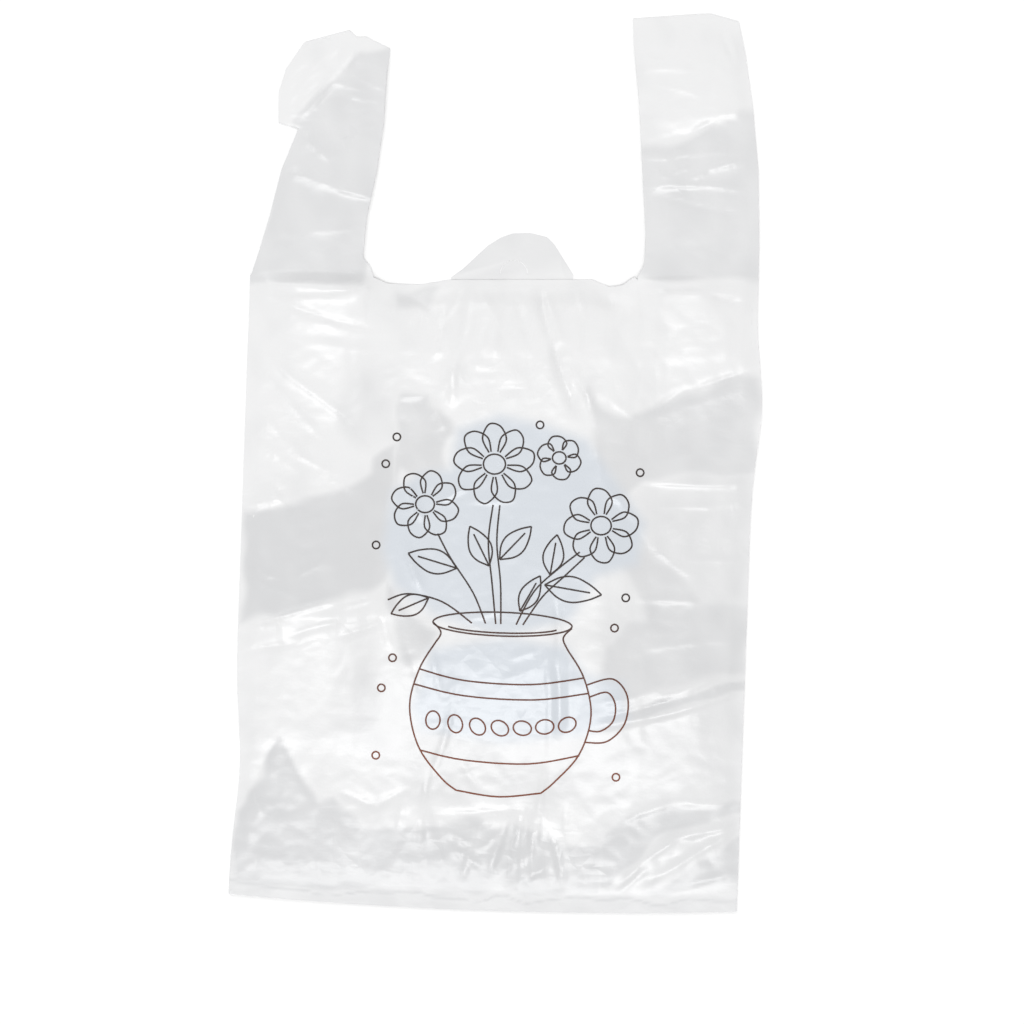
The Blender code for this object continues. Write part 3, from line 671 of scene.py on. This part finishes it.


# film colour with the painted shade mixed in, then the printed blue wash over it
shadePaintedColour = mixedColour(nodes, links, "paintedShade", filmLook["unshadedWhite"], filmLook["paintedShade"])
tinted = mixedColour(nodes, links, "washed", shadePaintedColour, filmLook["washed"])
links.new(tinted, shader.inputs["Base Color"])
place = nodes.new("ShaderNodeTexCoord")
fineNoise = nodes.new("ShaderNodeTexNoise")
fineNoise.inputs["Scale"].default_value = 160
fineNoise.inputs["Detail"].default_value = 3
bump = nodes.new("ShaderNodeBump")
bump.inputs["Strength"].default_value = filmLook["bump"]
bump.inputs["Distance"].default_value = 0.0004
wobble = nodes.new("ShaderNodeTexNoise")
wobble.inputs["Scale"].default_value = 45
wobble.inputs["Detail"].default_value = 1
wobbleSize = nodes.new("ShaderNodeVectorMath")
wobbleSize.operation = "MULTIPLY_ADD"
wobbleSize.inputs[1].default_value = (0.012, 0.012, 0)
links.new(place.outputs["Object"], wobble.inputs["Vector"])
links.new(wobble.outputs["Color"], wobbleSize.inputs[0])
links.new(place.outputs["Object"], wobbleSize.inputs[2])
facets = nodes.new("ShaderNodeTexVoronoi")
facets.distance = "MANHATTAN"
facets.inputs["Scale"].default_value = 95
links.new(wobbleSize.outputs["Vector"], facets.inputs["Vector"])
crumpledReader = nodes.new("ShaderNodeAttribute")
crumpledReader.attribute_name = "crumpled"
facetHeight = nodes.new("ShaderNodeMath")
facetHeight.operation = "MULTIPLY"
links.new(facets.outputs["Distance"], facetHeight.inputs[0])
links.new(crumpledReader.outputs["Fac"], facetHeight.inputs[1])
crinkle = nodes.new("ShaderNodeBump")
crinkle.inputs["Strength"].default_value = filmLook["crinkle"]
crinkle.inputs["Distance"].default_value = 0.0016
links.new(facetHeight.outputs["Value"], crinkle.inputs["Height"])
links.new(crinkle.outputs["Normal"], bump.inputs["Normal"])
links.new(place.outputs["Object"], fineNoise.inputs["Vector"])
links.new(fineNoise.outputs["Fac"], bump.inputs["Height"])
links.new(bump.outputs["Normal"], shader.inputs["Normal"])
filmMesh.materials.append(filmMaterial)

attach(bagFilm, "root")
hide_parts("carrier_bag")

print("stage: printed design")
printSizes = {
    "lineWidth": 0.95,
    "step": 0.8,
    "lift": 0.12,
    "ink": (0.035, 0.022, 0.018, 1),
    "lowInk": (0.2, 0.045, 0.012, 1),
}
linePoints, lineEdges = [], []


def printLine(points, closed=False, smooth=True):
    # a drawn line, smoothed through its points
    points = [Vector(point) for point in points]
    count = len(points)
    drawn = []
    for index in range(count if closed else count - 1):
        before = points[(index - 1) % count] if closed or index else points[index]
        start, end = points[index], points[(index + 1) % count]
        after = points[(index + 2) % count] if closed or index + 2 < count else end
        for step in range(6 if smooth else 1):
            t = step / 6
            square = (2 * before - 5 * start + 4 * end - after) * t * t
            cube = (3 * start - before - 3 * end + after) * t ** 3
            drawn.append(0.5 * (2 * start + (end - before) * t + square + cube))
    if not closed:
        drawn.append(points[-1])
    base = len(linePoints)
    linePoints.extend(((point.x + shiftX) * mm, (point.y + shiftY) * mm, 0.03) for point in drawn)
    lineEdges.extend((base + index, base + index + 1) for index in range(len(drawn) - 1))
    if closed:
        lineEdges.append((base + len(drawn) - 1, base))


def ringPoints(cx, cy, radiusX, radiusY, start=0, end=360, count=12, turn=0):
    points = []
    ux, uy = math.cos(math.radians(turn)), math.sin(math.radians(turn))
    for step in range(count + (end - start < 360)):
        angle = math.radians(start + (end - start) * step / count)
        px, py = radiusX * math.cos(angle), radiusY * math.sin(angle)
        points.append((cx + px * ux - py * uy, cy + px * uy + py * ux))
    return points


# a petal's outline: share of the outer radius and of the half width
petalOutline = [(0.62, 1), (0.93, 0.62), (1, 0.1), (0.9, -0.6), (0.6, -1)]
# a leaf's edge: share of its length and of its width
leafOutline = [(0, 0), (0.25, 0.8), (0.5, 1), (0.78, 0.6), (1, 0)]


def flower(cx, cy, inner, outer, petals, turn):
    printLine(ringPoints(cx, cy, inner, inner * 0.9), True)
    for petal in range(petals):
        lean = turn + 360 * petal / petals
        ux, uy = math.cos(math.radians(lean)), math.sin(math.radians(lean))
        half = outer * math.sin(math.pi / petals) * 0.86
        outline = [(outer * share, side) for share, side in petalOutline]
        outline = [(inner * 1.05, 0.45)] + outline + [(inner * 1.05, -0.45)]
        printLine([(cx + ux * reach - uy * half * side, cy + uy * reach + ux * half * side)
                   for reach, side in outline])


def leaf(x, y, length, width, turn):
    ux, uy = math.cos(math.radians(turn)), math.sin(math.radians(turn))
    for side in (width, -width):
        printLine([(x + ux * length * share - uy * side * rise, y + uy * length * share + ux * side * rise)
                   for share, rise in leafOutline])
    printLine([(x + ux * length * share, y + uy * length * share) for share in (0, 0.4, 0.8)])


# a jug, its bands, and the flowers that stand in it
printLine([(-33, -108), (-42, -124), (-47, -146), (-41, -170), (-27, -188), (-18, -195)])
printLine([(45, -110), (55, -126), (60, -148), (54, -171), (40, -188), (32, -195)])
printLine([(-18, -195), (7, -198), (32, -195)])
printLine([(-33, -108), (-30, -102), (-35, -96)])
printLine([(45, -110), (42, -103), (47, -97)])
printLine(ringPoints(6, -96, 41, 7), True)
printLine(ringPoints(6, -97, 34, 4.2, 200, 340))
printLine([(-42, -124), (-15, -130), (24, -131), (55, -126)])
printLine([(-45, -133), (-15, -139), (26, -140), (58, -135)])
printLine([(-40, -172), (-14, -177), (24, -178), (54, -172)])
for step in range(7):
    sag = 3.4 * math.sin(math.pi * step / 6)
    printLine(ringPoints(-33 + 13.2 * step, -154 - sag, 4.2, 5.4, turn=20 * step), True)
printLine([(57, -130), (72, -126), (81, -136), (80, -152), (70, -163), (57, -164)])
printLine([(59, -137), (69, -134), (74, -141), (73, -151), (66, -157), (59, -157)])
for stem in (
    [(-4, -96), (-12, -78), (-26, -58), (-34, -44)],
    [(2, -96), (-1, -72), (-4, -48), (-2, -26)],
    [(5, -96), (4, -72), (1, -48), (2, -26)],
    [(14, -96), (24, -76), (38, -62), (50, -52)],
    [(18, -96), (29, -79), (42, -66), (53, -55)],
    [(-12, -96), (-30, -84), (-50, -80), (-62, -84)],
):
    printLine(stem)
flower(-2, -2, 6.5, 24, 9, 12)
flower(-42, -27, 5.5, 20, 8, 30)
flower(62, -36, 6, 22, 8, 5)
flower(36, 3, 4, 13, 6, 40)
leaf(-22, -64, 30, 7, 165)
leaf(-3, -62, 26, 6.5, 118)
leaf(3, -58, 27, 6.5, 48)
leaf(30, -72, 34, 7.5, -8)
leaf(-38, -82, 24, 6, 205)
leaf(33, -66, 24, 6, 82)
leaf(16, -88, 24, 5.5, 62)
for dotX, dotY in ((-66, -4), (-60, 12), (24, 22), (84, -4), (78, -78), (-70, -52), (-58, -118), (-64, -136),
                   (72, -96), (-66, -176), (76, -184)):
    printLine(ringPoints(dotX, dotY, 2.2, 2.2, count=8), True)

lineMesh = bpy.data.meshes.new("printedLines")
lineMesh.from_pydata(linePoints, lineEdges, [])
printedLines = bpy.data.objects.new("printedLines", lineMesh)
bpy.context.scene.collection.objects.link(printedLines)

inkMaterial = bpy.data.materials.new("brownInk")
inkMaterial.use_nodes = True
inkNodes, inkLinks = inkMaterial.node_tree.nodes, inkMaterial.node_tree.links
inkShader = inkNodes["Principled BSDF"]
inkShader.inputs["Roughness"].default_value = 0.5
inkPlace = inkNodes.new("ShaderNodeTexCoord")
inkSplit = inkNodes.new("ShaderNodeSeparateXYZ")
inkRange = inkNodes.new("ShaderNodeMapRange")
inkRange.inputs["From Min"].default_value = -0.08
inkRange.inputs["From Max"].default_value = -0.18
inkMix = inkNodes.new("ShaderNodeMix")
inkMix.data_type = "RGBA"
inkColours = [item for item in inkMix.inputs if item.type == "RGBA"]
inkColours[0].default_value = printSizes["ink"]
inkColours[1].default_value = printSizes["lowInk"]
inkLinks.new(inkPlace.outputs["Object"], inkSplit.inputs["Vector"])
inkLinks.new(inkSplit.outputs["Y"], inkRange.inputs["Value"])
inkLinks.new(inkRange.outputs["Result"], inkMix.inputs["Factor"])
inkLinks.new([item for item in inkMix.outputs if item.type == "RGBA"][0], inkShader.inputs["Base Color"])

# node tree: lines become flat strips, and each point of them drops onto the film
tree = bpy.data.node_groups.new("linesOnFilm", "GeometryNodeTree")
tree.interface.new_socket("Geometry", in_out="INPUT", socket_type="NodeSocketGeometry")
sockets = {}
for name, kind in (("Film", "NodeSocketObject"), ("Line Width", "NodeSocketFloat"),
                   ("Step", "NodeSocketFloat"), ("Lift", "NodeSocketFloat"), ("Ink", "NodeSocketMaterial")):
    sockets[name] = tree.interface.new_socket(name, in_out="INPUT", socket_type=kind).identifier
tree.interface.new_socket("Geometry", in_out="OUTPUT", socket_type="NodeSocketGeometry")


def treeNode(kind, **settings):
    node = tree.nodes.new(kind)
    for name, value in settings.items():
        setattr(node, name, value)
    return node


groupIn, groupOut = treeNode("NodeGroupInput"), treeNode("NodeGroupOutput")
toCurve = treeNode("GeometryNodeMeshToCurve")
resample = treeNode("GeometryNodeResampleCurve")
resample.mode = "LENGTH"
upright = treeNode("GeometryNodeSetCurveNormal")
upright.mode = "Z_UP"
half = treeNode("ShaderNodeVectorMath", operation="SCALE")
half.inputs[0].default_value = (0.5, 0, 0)
otherHalf = treeNode("ShaderNodeVectorMath", operation="SCALE")
otherHalf.inputs[0].default_value = (-0.5, 0, 0)
strip = treeNode("GeometryNodeCurvePrimitiveLine", mode="POINTS")
toMesh = treeNode("GeometryNodeCurveToMesh")
filmInfo = treeNode("GeometryNodeObjectInfo", transform_space="RELATIVE")
ray = treeNode("GeometryNodeRaycast")
ray.inputs["Ray Direction"].default_value = (0, 0, -1)
ray.inputs["Ray Length"].default_value = 0.1
raised = treeNode("ShaderNodeCombineXYZ")
total = treeNode("ShaderNodeVectorMath", operation="ADD")
dropped = treeNode("GeometryNodeSetPosition")
smoothed = treeNode("GeometryNodeSetShadeSmooth")
realised = treeNode("GeometryNodeRealizeInstances")
inked = treeNode("GeometryNodeSetMaterial")
for source, sourceName, target, targetName in (
    (groupIn, "Geometry", toCurve, "Mesh"), (toCurve, "Curve", resample, "Curve"),
    (groupIn, "Step", resample, "Length"), (resample, "Curve", upright, "Curve"),
    (groupIn, "Line Width", half, "Scale"), (groupIn, "Line Width", otherHalf, "Scale"),
    (half, "Vector", strip, "Start"), (otherHalf, "Vector", strip, "End"),
    (upright, "Curve", toMesh, "Curve"), (strip, "Curve", toMesh, "Profile Curve"),
    (groupIn, "Film", filmInfo, "Object"), (filmInfo, "Geometry", ray, "Target Geometry"),
    (groupIn, "Lift", raised, "Z"), (ray, "Hit Position", total, 0), (raised, "Vector", total, 1),
    (toMesh, "Mesh", dropped, "Geometry"), (ray, "Is Hit", dropped, "Selection"),
    (total, "Vector", dropped, "Position"), (dropped, "Geometry", smoothed, "Geometry"),
    (smoothed, "Geometry", realised, "Geometry"), (realised, "Geometry", inked, "Geometry"),
    (groupIn, "Ink", inked, "Material"), (inked, "Geometry", groupOut, "Geometry"),
):
    tree.links.new(source.outputs[sourceName], target.inputs[targetName])

layLines = printedLines.modifiers.new("layLines", "NODES")
layLines.node_group = tree
layLines[sockets["Film"]] = bagFilm
layLines[sockets["Line Width"]] = printSizes["lineWidth"] * mm
layLines[sockets["Step"]] = printSizes["step"] * mm
layLines[sockets["Lift"]] = printSizes["lift"] * mm
layLines[sockets["Ink"]] = inkMaterial
printMesh = bpy.data.meshes.new_from_object(printedLines.evaluated_get(bpy.context.evaluated_depsgraph_get()))
printedLines.modifiers.remove(layLines)
printedLines.data = printMesh
printMesh.name = "printedLines"
printMesh.flip_normals()  # the strips come out facing down
print("print strips", len(printMesh.polygons))
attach(printedLines, "root")
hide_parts("carrier_bag")

print("stage: floor, lights and camera")
floorMesh = bpy.data.meshes.new("floor")
floorHalf, floorDrop = 4, 0.0002
floorCorners = [(x * floorHalf, y * floorHalf, -floorDrop) for x, y in ((-1, -1), (1, -1), (1, 1), (-1, 1))]
floorMesh.from_pydata(floorCorners, [], [(0, 1, 2, 3)])
floor = bpy.data.objects.new("floor", floorMesh)
bpy.context.scene.collection.objects.link(floor)
floorMaterial = bpy.data.materials.new("paleFloor")
floorMaterial.use_nodes = True
floorNodes, floorLinks = floorMaterial.node_tree.nodes, floorMaterial.node_tree.links
floorShader = floorNodes["Principled BSDF"]
floorShader.inputs["Base Color"].default_value = (0.86, 0.86, 0.86, 1)
floorShader.inputs["Roughness"].default_value = 1
floorShader.inputs["Specular IOR Level"].default_value = 0
lightPath = floorNodes.new("ShaderNodeLightPath")
glow = floorNodes.new("ShaderNodeMath")
glow.operation = "MULTIPLY"
glow.inputs[1].default_value = 0.2
floorLinks.new(lightPath.outputs["Is Camera Ray"], glow.inputs[0])
floorShader.inputs["Emission Color"].default_value = (1, 1, 1, 1)
floorLinks.new(glow.outputs[0], floorShader.inputs["Emission Strength"])
floorMesh.materials.append(floorMaterial)

world = bpy.data.worlds.new("studio")
bpy.context.scene.world = world
world.use_nodes = True
world.node_tree.nodes["Background"].inputs["Color"].default_value = (1, 1, 1, 1)
world.node_tree.nodes["Background"].inputs["Strength"].default_value = 0.62


def softLamp(name, direction, distance, sizeX, sizeY, power):
    lamp = bpy.data.lights.new(name, "AREA")
    lamp.shape = "RECTANGLE"
    lamp.size, lamp.size_y = sizeX, sizeY
    lamp.energy = power
    lampObject = bpy.data.objects.new(name, lamp)
    bpy.context.scene.collection.objects.link(lampObject)
    towards = Vector(direction).normalized()
    lampObject.location = towards * distance
    lampObject.rotation_euler = towards.to_track_quat("Z", "Y").to_euler()


softLamp("lowerLamp", (0, -0.33, 1), 5.2, 2.6, 0.8, 88)
softLamp("upperLamp", (-0.5, 0.9, 1), 2.6, 1.2, 1.2, 10)

cameraSizes = {"distance": 3.0, "millimetresAcross": 604.7, "lean": 2.0, "target": (9.3, -29.8)}
camera = bpy.data.cameras.new("camera")
camera.sensor_width = 36
camera.lens = 36 * cameraSizes["distance"] / (cameraSizes["millimetresAcross"] * mm)
cameraObject = bpy.data.objects.new("camera", camera)
bpy.context.scene.collection.objects.link(cameraObject)
targetX, targetY = cameraSizes["target"]
cameraObject.location = ((targetX + shiftX) * mm, (targetY + shiftY) * mm, cameraSizes["distance"])
cameraObject.rotation_euler = Euler((0, 0, math.radians(cameraSizes["lean"])))
bpy.context.scene.camera = cameraObject
bpy.context.scene.view_settings.view_transform = "Standard"
